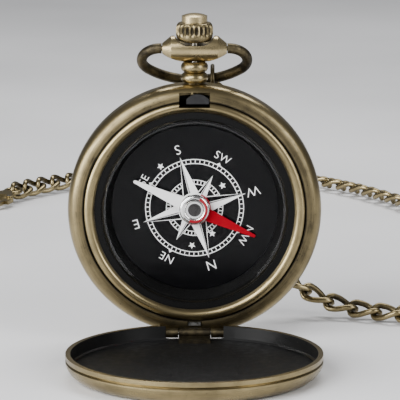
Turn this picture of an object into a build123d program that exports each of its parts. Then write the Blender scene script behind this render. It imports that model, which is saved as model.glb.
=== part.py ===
from build123d import *
import math
import os

# Pocket compass in a hunter case, standing on its open lid.
# Millimetres. +X right, +Y away from the viewer, +Z up.
# The origin is the centre of the flat on the lid's outer face, which lies on the table.
# "Depth" is measured from the plane of the lid's rim on the closed case, towards the back.

# Case
CASE_R = 23.25
RING_R = 2.5
RING_FRONT_DEPTH = -0.1
SIDE_LENGTH = 2.7
BAND_WALL = 1.95
BAND_BACK_DEPTH = 7.2
FLANGE_DEPTH = 1.4
FLANGE_T = 0.8
FLANGE_OVERLAP = 0.55
CASE_DEPTH = 9.4
BACK_WALL = 0.9
BACK_ROUND_W = 6.75
SNAP_LIP_T = 0.9
SNAP_LIP_DEPTH = 6.2

# Bezel, crystal and compass capsule
RING_FACE_W = 2.85
BEZEL_W = 2.05
BEZEL_CROWN_DEPTH = -0.35
BEZEL_OUTER_DEPTH = 0.45
BEZEL_INNER_DEPTH = 0.1
BEZEL_CHAMFER = 0.2
GASKET_W = 1.25
CRYSTAL_T = 1.3
CRYSTAL_BEVEL = 0.5
CRYSTAL_SEAT_DEPTH = 1.0
GASKET_T = 0.65
CRYSTAL_SEAT_W = 0.7
CAPSULE_BACK_DEPTH = 5.2
COLLAR_PLAY = 0.15
DIAL_INSET = 1.8
DIAL_T = 0.4
DIAL_DEPTH = 4.0
DIAL_WALL_H = 0.4
HOLDER_TUBE_WALL = 2.2
HOLDER_FLANGE_T = 0.9

# Needle and pivot
PIVOT_R = 0.4
PIVOT_POINT_R = 0.06
PIVOT_TIP_DEPTH = 2.1
PIVOT_CONE_H = 0.85
PIVOT_FLANGE_R = 0.9
PIVOT_FLANGE_T = 0.3
NEEDLE_INSET = 3.0
NEEDLE_ROOT_W = 2.9
NEEDLE_TIP_W = 0.55
NEEDLE_T = 0.25
NEEDLE_DEPTH = 2.75
NEEDLE_ANGLE = -24.8
NEEDLE_DISC_R = 3.0
CAP_R = 2.8
CAP_H = 1.15
CAP_BORE_R = 1.6
JEWEL_H = 1.35
JEWEL_CUP_R = 0.7
JEWEL_GAP = 0.05

# Pendant, crown and push stem
PENDANT_DEPTH = 3.75
NECK_BEAD_R = 2.5
NECK_WAIST_R = 1.75
NECK_BEAD_H = 1.95
NECK_SPIGOT_R = 1.6
STEM_R = 0.8
YOKE_R = 2.45
YOKE_FOOT_R = 2.2
YOKE_BELLY_X = 4.35
YOKE_BELLY_H = 0.65
YOKE_DISH_R = 3.72
YOKE_FLOOR_H = 3.1
EAR_X = 4.25
EAR_R = 2.3
LUG_END_X = 5.9
LUG_END_R = 0.95
LUG_H = 2.4
CROWN_R = 3.4
CROWN_H = 3.5
CROWN_FOOT_R = 2.45
CROWN_TOP_R = 3.05
CROWN_ROUND_H = 1.5
CROWN_SHOULDER_H = 0.6
CROWN_LIFT = 0.58
CROWN_RIBS = 22
CROWN_FLUTE_R = 0.34
CROWN_BORE_R = 1.9
CROWN_BORE_H = 1.9
CROWN_CAP_R = 2.35
CROWN_CAP_H = 1.7
CROWN_CAP_DOME = 0.5
SPRING_R = 1.35
SPRING_WIRE_R = 0.18
SPRING_TURNS = 4

# Bow and its pins
BOW_WIRE_R = 0.95
BOW_HALF_W = 9.65
BOW_REACH = 9.4
BOW_SIDE_R = 3.5
BOW_PIN_R = 0.45
BOW_PIN_L = 1.2
BOW_STAND_OFF = 2.42
BACK_SHOULDER_SHARE = 0.3
CHAIN_RING_R = 2.3
CHAIN_RING_WIRE_R = 0.4
CHAIN_RING_X = 3.3
CHAIN_RING_PLAY = 0.2
CHAIN_RING_LEAN = 8.0

# Latch and lift springs
SPRING_STRIP_T = 0.6
SPRING_STRIP_W = 2.2
SPRING_STRIP_DEPTH = 2.6
LATCH_STRIP_PLAY = 0.8
LATCH_SPAN = 50.0
LATCH_W = 4.1
LATCH_NOSE_INSET = 1.55
LATCH_SIDE = 0.55
LATCH_NOSE_T = 0.6
LATCH_NOSE_DEPTH = -0.1
LATCH_SLOT_W = 5.6
LATCH_SLOT_H = 2.75
LATCH_SLOT_PLAY = 0.25
LIFT_STRIP_PLAY = 0.1
LIFT_SPAN = 45.0
LIFT_FINGER_W = 2.2
LIFT_TIP_DEPTH = -0.4
SCREW_R = 0.5
SCREW_HEAD_R = 0.95
SCREW_HEAD_H = 0.7
SPRING_FOOT_R = 1.05

# Lid and hinge
LID_INSET = 0.45
LID_H = 4.2
LID_WALL = 0.9
LID_FLOOR = 1.2
LID_SHOULDER_W = 3.3
LID_SHOULDER_H = 2.6
LID_GROOVE = 0.25
LID_GROOVE_H = 3.15
LINING_T = 0.5
LINING_GAP = 0.3
HINGE_INSET = 0.5
HINGE_FRONT = 1.5
KNUCKLE_R = 0.9
HINGE_PIN_R = 0.4
LID_KNUCKLE_L = 5.8
CASE_KNUCKLE_L = 3.5
HINGE_END_GAP = 0.1
HINGE_LEAF_T = 0.9
HINGE_BAR_T = 0.7
HINGE_SEAT_DEPTH = 1.2
LID_LEAF_L = 4.5
LID_LEAF_T = 0.6

# Chain
LINK_WIRE = 1.1
LINK_L = 7.2
LINK_W = 4.2
LINK_PLAY = 0.2
LINK_SIDES = 6
CHAIN_LIE_H = 1.85
CHAIN_END_RISE = 0.65
CHAIN_TURN_LINKS = 12
CLASP_L = 11.0
CLASP_W = 6.4
CLASP_BAR = 1.5
CLASP_T = 1.6
CLASP_PIN_R = 0.4
CLASP_EYE_R = 1.75
CLASP_EYE_WIRE_R = 0.5
CLASP_LEVER_L = 5.0

# Clearances
FIT = 0.05
PRESS = 0.02
RUN = 0.03

# Radii and places that follow from the sizes above
BAND_INNER_R = CASE_R - BAND_WALL
BACK_FLAT_R = CASE_R - BACK_ROUND_W
BEZEL_OUTER_R = CASE_R - RING_FACE_W
BEZEL_INNER_R = BEZEL_OUTER_R - BEZEL_W
FLANGE_INNER_R = BEZEL_INNER_R + FLANGE_OVERLAP
CRYSTAL_R = BEZEL_INNER_R - GASKET_W
CAPSULE_WALL_R = CRYSTAL_R - CRYSTAL_SEAT_W
CAPSULE_COLLAR_R = FLANGE_INNER_R - COLLAR_PLAY
DIAL_R = CRYSTAL_R - DIAL_INSET
HOLDER_TUBE_R = BACK_FLAT_R - 2 * FIT
NEEDLE_ARM = DIAL_R - NEEDLE_INSET
LATCH_STRIP_R = BAND_INNER_R - LATCH_STRIP_PLAY
LATCH_NOSE_R = CASE_R - LATCH_NOSE_INSET
LATCH_SLOT_HIGH_R = LATCH_NOSE_R + LATCH_SLOT_PLAY
LATCH_SLOT_LOW_R = LATCH_SLOT_HIGH_R - LATCH_SLOT_H
LIFT_STRIP_R = BAND_INNER_R - LIFT_STRIP_PLAY
LID_R = CASE_R - LID_INSET
LID_FLAT_R = LID_R - LID_SHOULDER_W
HINGE_R = LID_R - HINGE_INSET
HINGE_Z = LID_H - HINGE_FRONT
CASE_Z = HINGE_Z + HINGE_R
RIM_Y = HINGE_R + HINGE_FRONT
RING_CENTRE_R = CASE_R - RING_R
RING_CENTRE_DEPTH = RING_FRONT_DEPTH + RING_R
SIDE_END_DEPTH = RING_CENTRE_DEPTH + SIDE_LENGTH
PENDANT_Y = RIM_Y + PENDANT_DEPTH
BACK_SHOULDER_DEPTH = BAND_BACK_DEPTH + BACK_SHOULDER_SHARE * (CASE_DEPTH - BAND_BACK_DEPTH)
BOW_BEHIND = BACK_SHOULDER_DEPTH - PENDANT_DEPTH + BOW_STAND_OFF
BOW_ANGLE = math.degrees(math.asin(BOW_BEHIND / BOW_REACH))
NECK_BASE = CASE_R + FIT
YOKE_BASE = NECK_BASE + 2 * NECK_BEAD_H
LUG_Z = YOKE_BASE + LUG_H
CROWN_BASE = YOKE_BASE + YOKE_FLOOR_H + CROWN_LIFT
CROWN_TOP = CROWN_BASE + CROWN_H

CASE = Plane(origin=(0, RIM_Y, CASE_Z), x_dir=(1, 0, 0), z_dir=(0, -1, 0))
PENDANT = Plane(origin=(0, PENDANT_Y, CASE_Z), x_dir=(1, 0, 0), z_dir=(0, 0, 1))


def turned(edges):
    """Solid turned round Z from a closed half profile of (radius, height) edges."""
    return revolve(Plane.XZ * make_face(edges), Axis.Z)


def in_case(edges):
    """Solid turned round the dial axis from edges whose heights are minus the depth."""
    return CASE.location * turned(edges)


def washer(inner_r, outer_r, low, high):
    """Ring, or a disc where inner_r is 0, between two heights."""
    height = high - low
    solid = Cylinder(outer_r, height, align=(Align.CENTER, Align.CENTER, Align.MIN))
    if inner_r > 0:
        solid -= Cylinder(inner_r, height, align=(Align.CENTER, Align.CENTER, Align.MIN))
    return Pos(0, 0, low) * solid


def block(x0, x1, y0, y1, z0, z1):
    """Box between two corners."""
    box = Box(x1 - x0, y1 - y0, z1 - z0, align=(Align.MIN, Align.MIN, Align.MIN))
    return Pos(x0, y0, z0) * box


def rod_x(radius, x0, x1, y, z):
    """Round bar along X."""
    bar = Cylinder(radius, x1 - x0, align=(Align.CENTER, Align.CENTER, Align.MIN))
    return Pos(x0, y, z) * Rot(0, 90, 0) * bar


def arc_point(centre, radius, degrees):
    return (
        centre[0] + radius * math.cos(math.radians(degrees)),
        centre[1] + radius * math.sin(math.radians(degrees)),
    )


# Case band: rounded outer ring, flange for the bezel, cuts for latch, lift spring, stem and hinge

def case_band():
    centre_f = (RING_CENTRE_R, -RING_CENTRE_DEPTH)
    centre_b = (RING_CENTRE_R, -SIDE_END_DEPTH)
    groove_r = BEZEL_OUTER_R + FIT
    groove_end = (groove_r, centre_f[1] + math.sqrt(RING_R**2 - (groove_r - RING_CENTRE_R) ** 2))
    back_angle = math.degrees(math.asin((BAND_BACK_DEPTH - SIDE_END_DEPTH) / RING_R))
    back_end = arc_point(centre_b, RING_R, -back_angle)
    front_mid = arc_point(centre_f, RING_R, 45)
    back_mid = arc_point(centre_b, RING_R, -back_angle / 2)
    front_side = (CASE_R, -RING_CENTRE_DEPTH)
    back_side = (CASE_R, -SIDE_END_DEPTH)
    flange_back = -(FLANGE_DEPTH + FLANGE_T)
    band = in_case([
        ThreePointArc(groove_end, front_mid, front_side),
        Line(front_side, back_side),
        ThreePointArc(back_side, back_mid, back_end),
        Polyline(
            back_end,
            (BAND_INNER_R, -BAND_BACK_DEPTH),
            (BAND_INNER_R, flange_back),
            (FLANGE_INNER_R, flange_back),
            (FLANGE_INNER_R, -FLANGE_DEPTH),
            (groove_r, -FLANGE_DEPTH),
            groove_end,
        ),
    ])
    through = FLANGE_DEPTH + FLANGE_T + FIT
    slots = latch_slot()
    slots += CASE.location * block(
        -LIFT_FINGER_W / 2 - 4 * FIT, LIFT_FINGER_W / 2 + 4 * FIT,
        -LIFT_STRIP_R - 2 * FIT, -LIFT_STRIP_R + SPRING_STRIP_T + 2 * FIT,
        -through, RING_R,
    )
    hinge_half = LID_KNUCKLE_L / 2 + HINGE_END_GAP + CASE_KNUCKLE_L + FIT
    slots += block(
        -hinge_half, hinge_half,
        RIM_Y - RING_R, RIM_Y + HINGE_SEAT_DEPTH,
        CASE_Z - CASE_R - 1, HINGE_Z + HINGE_LEAF_T / 2 + FIT,
    )
    slots += PENDANT.location * washer(0, NECK_SPIGOT_R + PRESS, BAND_INNER_R - 1, CASE_R + 1)
    for place in (latch_foot(), lift_foot()):
        slots += CASE.location * Pos(*place, 0) * washer(0, SCREW_R + PRESS, -through, 0)
    return band - slots


def latch_slot():
    half = LATCH_SLOT_W / 2
    return CASE.location * block(
        -half, half, LATCH_SLOT_LOW_R, LATCH_SLOT_HIGH_R,
        -(FLANGE_DEPTH + FLANGE_T + FIT), RING_R,
    )


def back_cover():
    snap_r = BAND_INNER_R - FIT
    edge_r = RING_CENTRE_R + math.sqrt(RING_R**2 - (BAND_BACK_DEPTH - SIDE_END_DEPTH) ** 2)
    across = edge_r - BACK_FLAT_R
    rise = CASE_DEPTH - BAND_BACK_DEPTH
    outer_arc_r = (across**2 + rise**2) / (2 * rise)
    inner_arc_r = outer_arc_r - BACK_WALL
    arc_centre = (BACK_FLAT_R, -CASE_DEPTH + outer_arc_r)
    lip_r = snap_r - SNAP_LIP_T
    lip_meets = (lip_r, arc_centre[1] - math.sqrt(inner_arc_r**2 - (lip_r - BACK_FLAT_R) ** 2))
    inner_flat = -(CASE_DEPTH - BACK_WALL)
    return in_case([
        Line((0, -CASE_DEPTH), (BACK_FLAT_R, -CASE_DEPTH)),
        TangentArc((BACK_FLAT_R, -CASE_DEPTH), (edge_r, -BAND_BACK_DEPTH), tangent=(1, 0)),
        Polyline(
            (edge_r, -BAND_BACK_DEPTH),
            (snap_r, -BAND_BACK_DEPTH),
            (snap_r, -SNAP_LIP_DEPTH),
            (lip_r, -SNAP_LIP_DEPTH),
            lip_meets,
        ),
        TangentArc((BACK_FLAT_R, inner_flat), lip_meets, tangent=(1, 0)),
        Polyline((BACK_FLAT_R, inner_flat), (0, inner_flat), (0, -CASE_DEPTH)),
    ])


def bezel():
    outer = (BEZEL_OUTER_R, -BEZEL_OUTER_DEPTH)
    crown = ((BEZEL_OUTER_R + BEZEL_INNER_R) / 2, -BEZEL_CROWN_DEPTH)
    inner = (BEZEL_INNER_R + BEZEL_CHAMFER, -BEZEL_INNER_DEPTH)
    ring = in_case([
        ThreePointArc(outer, crown, inner),
        Polyline(
            inner,
            (BEZEL_INNER_R, inner[1] - BEZEL_CHAMFER),
            (BEZEL_INNER_R, -FLANGE_DEPTH),
            (BEZEL_OUTER_R, -FLANGE_DEPTH),
            outer,
        ),
    ])
    return ring - latch_slot()


def crystal():
    front = CRYSTAL_T - CRYSTAL_SEAT_DEPTH
    return in_case(Polyline(
        (0, -CRYSTAL_SEAT_DEPTH),
        (CRYSTAL_R, -CRYSTAL_SEAT_DEPTH),
        (CRYSTAL_R, front - CRYSTAL_BEVEL),
        (CRYSTAL_R - CRYSTAL_BEVEL, front),
        (0, front),
        close=True,
    ))


def crystal_gasket():
    return CASE.location * washer(
        CRYSTAL_R + FIT, BEZEL_INNER_R - FIT,
        -CRYSTAL_SEAT_DEPTH, GASKET_T - CRYSTAL_SEAT_DEPTH,
    )


def capsule_cup():
    neck_r = BEZEL_INNER_R - 2 * FIT
    bore_r = DIAL_R + FIT
    dial_back = DIAL_DEPTH + DIAL_T
    pivot_r = PIVOT_R + PRESS
    return in_case(Polyline(
        (pivot_r, -CAPSULE_BACK_DEPTH),
        (CAPSULE_COLLAR_R, -CAPSULE_BACK_DEPTH),
        (CAPSULE_COLLAR_R, -FLANGE_DEPTH),
        (neck_r, -FLANGE_DEPTH),
        (neck_r, -CRYSTAL_SEAT_DEPTH),
        (CAPSULE_WALL_R, -CRYSTAL_SEAT_DEPTH),
        (bore_r, DIAL_WALL_H - DIAL_DEPTH),
        (bore_r, -dial_back),
        (pivot_r, -dial_back),
        close=True,
    ))


def capsule_holder():
    tube = washer(
        HOLDER_TUBE_R - HOLDER_TUBE_WALL, HOLDER_TUBE_R,
        -(CASE_DEPTH - BACK_WALL), -CAPSULE_BACK_DEPTH,
    )
    flange = washer(
        HOLDER_TUBE_R - HOLDER_TUBE_WALL, BAND_INNER_R - FIT,
        -SNAP_LIP_DEPTH, HOLDER_FLANGE_T - SNAP_LIP_DEPTH,
    )
    return CASE.location * (tube + flange)


def dial_card():
    return CASE.location * washer(PIVOT_R + FIT, DIAL_R, -(DIAL_DEPTH + DIAL_T), -DIAL_DEPTH)


def pivot_pin():
    top = -PIVOT_TIP_DEPTH
    shank_top = top - PIVOT_CONE_H
    return in_case(Polyline(
        (0, -CAPSULE_BACK_DEPTH),
        (PIVOT_R, -CAPSULE_BACK_DEPTH),
        (PIVOT_R, -DIAL_DEPTH),
        (PIVOT_FLANGE_R, -DIAL_DEPTH),
        (PIVOT_FLANGE_R, PIVOT_FLANGE_T - DIAL_DEPTH),
        (PIVOT_R, PIVOT_FLANGE_T - DIAL_DEPTH),
        (PIVOT_R, shank_top),
        (PIVOT_POINT_R, top),
        (0, top),
        close=True,
    ))


# Needle: two tapered arms on a ring, its turned cap, and the jewel that runs on the pivot

def needle():
    root = NEEDLE_ROOT_W / 2
    tip = NEEDLE_TIP_W / 2
    shoulder = NEEDLE_ARM - tip
    arms = make_face([
        Polyline((-shoulder, tip), (0, root), (shoulder, tip)),
        ThreePointArc((shoulder, tip), (NEEDLE_ARM, 0), (shoulder, -tip)),
        Polyline((shoulder, -tip), (0, -root), (-shoulder, -tip)),
        ThreePointArc((-shoulder, -tip), (-NEEDLE_ARM, 0), (-shoulder, tip)),
    ])
    plate = extrude(arms + Circle(NEEDLE_DISC_R) - Circle(CAP_BORE_R), NEEDLE_T)
    return CASE.location * Pos(0, 0, -NEEDLE_DEPTH - NEEDLE_T) * Rot(0, 0, NEEDLE_ANGLE) * plate


def needle_cap():
    base = -NEEDLE_DEPTH
    top = base + CAP_H
    lip = CAP_BORE_R + RUN
    return in_case([
        Polyline((lip, top - CAP_H / 4), (lip, base), (CAP_R, base), (CAP_R, base + CAP_H / 4)),
        ThreePointArc(
            (CAP_R, base + CAP_H / 4),
            ((CAP_R + lip) / 2, top),
            (lip, top - CAP_H / 4),
        ),
    ])


def jewel_cup():
    low = -NEEDLE_DEPTH - NEEDLE_T
    top = low + JEWEL_H
    apex = -PIVOT_TIP_DEPTH + JEWEL_GAP
    return in_case(Polyline(
        (0, apex), (PIVOT_POINT_R + JEWEL_GAP, apex), (JEWEL_CUP_R, low),
        (CAP_BORE_R - RUN, low), (CAP_BORE_R - RUN, top), (0, top),
        close=True,
    ))


# Pendant: beaded neck, yoke with its dish and lugs, crown, cap, stem and spring

def pendant_neck():
    bead_tops = [NECK_BASE + NECK_BEAD_H, NECK_BASE + 2 * NECK_BEAD_H]
    bore = STEM_R + FIT
    spigot_low = BAND_INNER_R + FIT
    edges = [Polyline(
        (bore, bead_tops[1]), (bore, spigot_low), (NECK_SPIGOT_R, spigot_low),
        (NECK_SPIGOT_R, NECK_BASE), (NECK_WAIST_R, NECK_BASE),
    )]
    for top in bead_tops:
        edges.append(ThreePointArc(
            (NECK_WAIST_R, top - NECK_BEAD_H),
            (NECK_BEAD_R, top - NECK_BEAD_H / 2),
            (NECK_WAIST_R, top),
        ))
    edges.append(Line((NECK_WAIST_R, bead_tops[1]), (bore, bead_tops[1])))
    return PENDANT.location * turned(edges)


def pendant_yoke():
    """A barrel along the bow's axis, rounded below like a bowl, with a dish for the crown."""
    foot = YOKE_BASE
    floor = foot + YOKE_FLOOR_H
    top = foot + 2 * YOKE_R + 1
    barrel = turned([
        Polyline(
            (EAR_R, -EAR_X), (LUG_END_R, -LUG_END_X), (0, -LUG_END_X),
            (0, LUG_END_X), (LUG_END_R, LUG_END_X), (EAR_R, EAR_X),
        ),
        ThreePointArc((EAR_R, EAR_X), (YOKE_R, 0), (EAR_R, -EAR_X)),
    ])
    lug_low = (LUG_END_X + FIT, LUG_Z - LUG_END_R)
    bowl = turned([
        Line((0, foot), (YOKE_FOOT_R, foot)),
        ThreePointArc((YOKE_FOOT_R, foot), (YOKE_BELLY_X, foot + YOKE_BELLY_H), lug_low),
        Polyline(lug_low, (lug_low[0], top), (0, top), (0, foot)),
    ])
    dish_side = floor + CROWN_ROUND_H
    dish = turned([
        Line((0, floor), (CROWN_FOOT_R + 5 * FIT, floor)),
        ThreePointArc(
            (CROWN_FOOT_R + 5 * FIT, floor),
            (YOKE_DISH_R - 5 * FIT, floor + CROWN_ROUND_H / 3),
            (YOKE_DISH_R, dish_side),
        ),
        Polyline((YOKE_DISH_R, dish_side), (YOKE_DISH_R, top + 1), (0, top + 1), (0, floor)),
    ])
    body = (Pos(0, 0, LUG_Z) * Rot(0, 90, 0) * barrel) & bowl
    body -= dish + washer(0, STEM_R + FIT, foot - 1, top)
    pin_bore = BOW_PIN_R + FIT
    deep = BOW_PIN_L + 2 * FIT
    body -= rod_x(pin_bore, LUG_END_X - deep, LUG_END_X + 1, 0, LUG_Z)
    body -= rod_x(pin_bore, -LUG_END_X - 1, -LUG_END_X + deep, 0, LUG_Z)
    return PENDANT.location * body


def crown():
    bore = STEM_R + PRESS
    foot = CROWN_BASE
    side = foot + CROWN_ROUND_H
    shoulder = CROWN_TOP - CROWN_SHOULDER_H
    bore_top = foot + CROWN_BORE_H
    edge_mid = (CROWN_R - 0.3, foot + CROWN_ROUND_H * 0.4)
    body = turned([
        Polyline(
            (CROWN_TOP_R, CROWN_TOP), (bore, CROWN_TOP), (bore, bore_top),
            (CROWN_BORE_R, bore_top), (CROWN_BORE_R, foot), (CROWN_FOOT_R, foot),
        ),
        ThreePointArc((CROWN_FOOT_R, foot), edge_mid, (CROWN_R, side)),
        Line((CROWN_R, side), (CROWN_R, shoulder)),
        TangentArc((CROWN_R, shoulder), (CROWN_TOP_R, CROWN_TOP), tangent=(0, 1)),
    ])
    flute_low = side - CROWN_SHOULDER_H / 2
    flute = Pos(CROWN_R, 0, 0) * washer(0, CROWN_FLUTE_R, flute_low, CROWN_TOP - CROWN_SHOULDER_H / 2)
    for i in range(CROWN_RIBS):
        body -= Rot(0, 0, 360 * i / CROWN_RIBS) * flute
    return PENDANT.location * body


def crown_cap():
    side = CROWN_TOP + CROWN_CAP_H - CROWN_CAP_DOME
    top = CROWN_TOP + CROWN_CAP_H
    return PENDANT.location * turned([
        TangentArc((0, top), (CROWN_CAP_R, side), tangent=(1, 0)),
        Polyline((CROWN_CAP_R, side), (CROWN_CAP_R, CROWN_TOP), (0, CROWN_TOP), (0, top)),
    ])


def push_stem():
    return PENDANT.location * washer(0, STEM_R, LATCH_STRIP_R + FIT, CROWN_TOP)


def return_spring():
    low = YOKE_BASE + YOKE_FLOOR_H + SPRING_WIRE_R
    high = CROWN_BASE + CROWN_BORE_H - SPRING_WIRE_R - FIT
    height = high - low
    path = Helix(height / SPRING_TURNS, height, SPRING_R)
    start = path.position_at(0)
    section = Plane(origin=start, z_dir=path.tangent_at(0)) * Circle(SPRING_WIRE_R)
    coil = sweep(section, path=path)
    return PENDANT.location * Pos(0, 0, low) * coil


# Bow: a wire of two side arcs and one wide arc, with a pin at each end, and the ring on it

def bow_place():
    """Frame of the bow: X along its pins, Y along its reach."""
    lean = math.radians(BOW_ANGLE)
    reach = (0, math.sin(lean), -math.cos(lean))
    normal = Vector(1, 0, 0).cross(Vector(*reach))
    return Plane(origin=(0, PENDANT_Y, CASE_Z + LUG_Z), x_dir=(1, 0, 0), z_dir=normal)


def bow_wide_radius():
    side_x = BOW_HALF_W - BOW_SIDE_R
    return (side_x**2 + (BOW_REACH - BOW_SIDE_R) ** 2 - BOW_SIDE_R**2) / (2 * (BOW_REACH - 2 * BOW_SIDE_R))


def bow():
    side_x = BOW_HALF_W - BOW_SIDE_R
    wide_r = bow_wide_radius()
    wide_centre_y = BOW_REACH - wide_r
    meet = math.degrees(math.atan2(BOW_SIDE_R - wide_centre_y, side_x))
    right_centre = (side_x, BOW_SIDE_R)
    right_end = arc_point(right_centre, BOW_SIDE_R, meet)
    right_mid = arc_point(right_centre, BOW_SIDE_R, (meet - 90) / 2)
    start = (side_x, 0)
    arcs = [
        ThreePointArc(start, right_mid, right_end),
        ThreePointArc(right_end, (0, BOW_REACH), (-right_end[0], right_end[1])),
        ThreePointArc((-right_end[0], right_end[1]), (-right_mid[0], right_mid[1]), (-start[0], start[1])),
    ]
    path = Wire(arcs)
    section = Plane(origin=(side_x, 0, 0), z_dir=(1, 0, 0)) * Circle(BOW_WIRE_R)
    wire = sweep(section, path=path)
    body = wire
    inner = LUG_END_X + 2 * FIT
    for sign in (1, -1):
        ends = sorted((sign * (LUG_END_X - BOW_PIN_L), sign * inner))
        body += rod_x(BOW_PIN_R, ends[0], ends[1], 0, 0)
        shoulder = sorted((sign * inner, sign * side_x))
        body += rod_x(BOW_WIRE_R, shoulder[0], shoulder[1], 0, 0)
    return bow_place().location * body


def ring_centre():
    """Centre of the small ring that hangs on the bow, behind the wire and a little below it."""
    wide_r = bow_wide_radius()
    reach = BOW_REACH - wide_r + math.sqrt(wide_r**2 - CHAIN_RING_X**2)
    wire = bow_place().from_local_coords(Vector(CHAIN_RING_X, reach, 0))
    step = CHAIN_RING_R - CHAIN_RING_WIRE_R - BOW_WIRE_R - CHAIN_RING_PLAY
    lean = math.radians(CHAIN_RING_LEAN)
    return wire + Vector(0, step * math.cos(lean), -step * math.sin(lean))


def chain_ring():
    ring = Torus(CHAIN_RING_R, CHAIN_RING_WIRE_R)
    return Pos(*ring_centre()) * Rot(0, 90, 0) * ring


# Flat springs inside the band: the latch at twelve o'clock and the lift spring at six

def strip(radius, start, span):
    """Curved strip along the inside of the band, start and span in degrees."""
    outer = radius
    inner = radius - SPRING_STRIP_T
    end = start + span
    middle = start + span / 2
    outside = [arc_point((0, 0), outer, degrees) for degrees in (start, middle, end)]
    inside = [arc_point((0, 0), inner, degrees) for degrees in (end, middle, start)]
    face = make_face([
        ThreePointArc(*outside),
        Line(outside[2], inside[0]),
        ThreePointArc(*inside),
        Line(inside[2], outside[0]),
    ])
    return Pos(0, 0, -SPRING_STRIP_DEPTH - SPRING_STRIP_W) * extrude(face, SPRING_STRIP_W)


def spring_foot(place):
    back = -(FLANGE_DEPTH + FLANGE_T)
    return Pos(*place, 0) * washer(0, SPRING_FOOT_R, -SPRING_STRIP_DEPTH - SPRING_STRIP_T, back)


def screw_hole(place):
    return Pos(*place, 0) * washer(0, SCREW_R + FIT, -RING_R * 4, 0)


def head_room(place):
    top = -SPRING_STRIP_DEPTH - SPRING_STRIP_T
    return Pos(*place, 0) * washer(0, SCREW_HEAD_R + 2 * FIT, top - RING_R, top)


def latch_foot():
    return arc_point((0, 0), LATCH_STRIP_R - SPRING_STRIP_T / 2, 90 - LATCH_SPAN)


def lift_foot():
    return arc_point((0, 0), BAND_INNER_R - SPRING_FOOT_R - 2 * FIT, 270 - LIFT_SPAN)


def latch_spring():
    half = LATCH_W / 2
    inner_r = LATCH_STRIP_R - SPRING_STRIP_T
    nose_top = -LATCH_NOSE_DEPTH
    nose_low = nose_top - LATCH_NOSE_T
    side_r = LATCH_NOSE_R - half * 0.45
    left = LATCH_SIDE - half
    right = LATCH_SIDE + half
    nose = make_face([
        Polyline((left, side_r), (left, inner_r), (right, inner_r), (right, side_r)),
        ThreePointArc((right, side_r), (LATCH_SIDE, LATCH_NOSE_R), (left, side_r)),
    ])
    body = strip(LATCH_STRIP_R, 90 - LATCH_SPAN, LATCH_SPAN)
    strip_back = -SPRING_STRIP_DEPTH - SPRING_STRIP_W
    body += block(left, right, inner_r, LATCH_STRIP_R - FIT, strip_back, nose_low)
    body += Pos(0, 0, nose_low) * extrude(nose, LATCH_NOSE_T)
    body += spring_foot(latch_foot())
    body -= screw_hole(latch_foot()) + head_room(latch_foot())
    return CASE.location * body


def lift_spring():
    half = LIFT_FINGER_W / 2
    finger = block(
        -half, half, -LIFT_STRIP_R, -LIFT_STRIP_R + SPRING_STRIP_T,
        -SPRING_STRIP_DEPTH - SPRING_STRIP_W, -LIFT_TIP_DEPTH,
    )
    body = strip(LIFT_STRIP_R, 270 - LIFT_SPAN, LIFT_SPAN) + finger + spring_foot(lift_foot())
    body -= screw_hole(lift_foot()) + head_room(lift_foot())
    return CASE.location * body


def spring_screws():
    head_low = -SPRING_STRIP_DEPTH - SPRING_STRIP_T
    screw = washer(0, SCREW_R, head_low, -FLANGE_DEPTH)
    screw += washer(0, SCREW_HEAD_R, head_low - SCREW_HEAD_H, head_low)
    places = (latch_foot(), lift_foot())
    return Compound([CASE.location * Pos(*place, 0) * screw for place in places])


# Lid: shallow cover with a grooved rim, its dark lining, and the hinge

def lid_shell():
    inner_r = LID_R - LID_WALL
    shell = turned([
        Line((0, 0), (LID_FLAT_R, 0)),
        TangentArc((LID_FLAT_R, 0), (LID_R, LID_SHOULDER_H), tangent=(1, 0)),
        Polyline(
            (LID_R, LID_SHOULDER_H),
            (LID_R, LID_GROOVE_H - LID_GROOVE),
            (LID_R - LID_GROOVE, LID_GROOVE_H),
            (LID_R, LID_GROOVE_H + LID_GROOVE),
            (LID_R, LID_H),
            (inner_r, LID_H),
            (inner_r, LID_FLOOR + LINING_T + LINING_GAP),
            (inner_r - LINING_GAP, LID_FLOOR + LINING_T),
            (inner_r - LINING_GAP, LID_FLOOR),
            (0, LID_FLOOR),
            (0, 0),
        ),
    ])
    half = LID_KNUCKLE_L / 2 + HINGE_END_GAP + CASE_KNUCKLE_L + 5 * FIT
    clear = KNUCKLE_R + 3 * FIT
    notch = block(-half, half, HINGE_R - clear, LID_R + 1, LID_FLOOR + LINING_T, LID_H + 1)
    return shell - notch - rod_x(clear, -half, half, HINGE_R, HINGE_Z)


def lid_lining():
    disc = washer(0, LID_R - LID_WALL - LINING_GAP - FIT, LID_FLOOR, LID_FLOOR + LINING_T)
    half = LID_KNUCKLE_L / 2 + HINGE_END_GAP + CASE_KNUCKLE_L + 5 * FIT
    return disc - rod_x(KNUCKLE_R + 3 * FIT, -half, half, HINGE_R, HINGE_Z)


def lid_hinge():
    half = LID_KNUCKLE_L / 2
    low = LID_FLOOR + LINING_T
    leaf = block(-half, half, HINGE_R - LID_LEAF_L, HINGE_R, low, low + LID_LEAF_T)
    body = leaf + rod_x(KNUCKLE_R, -half, half, HINGE_R, HINGE_Z)
    return body - rod_x(HINGE_PIN_R + RUN, -half - 1, half + 1, HINGE_R, HINGE_Z)


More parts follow.
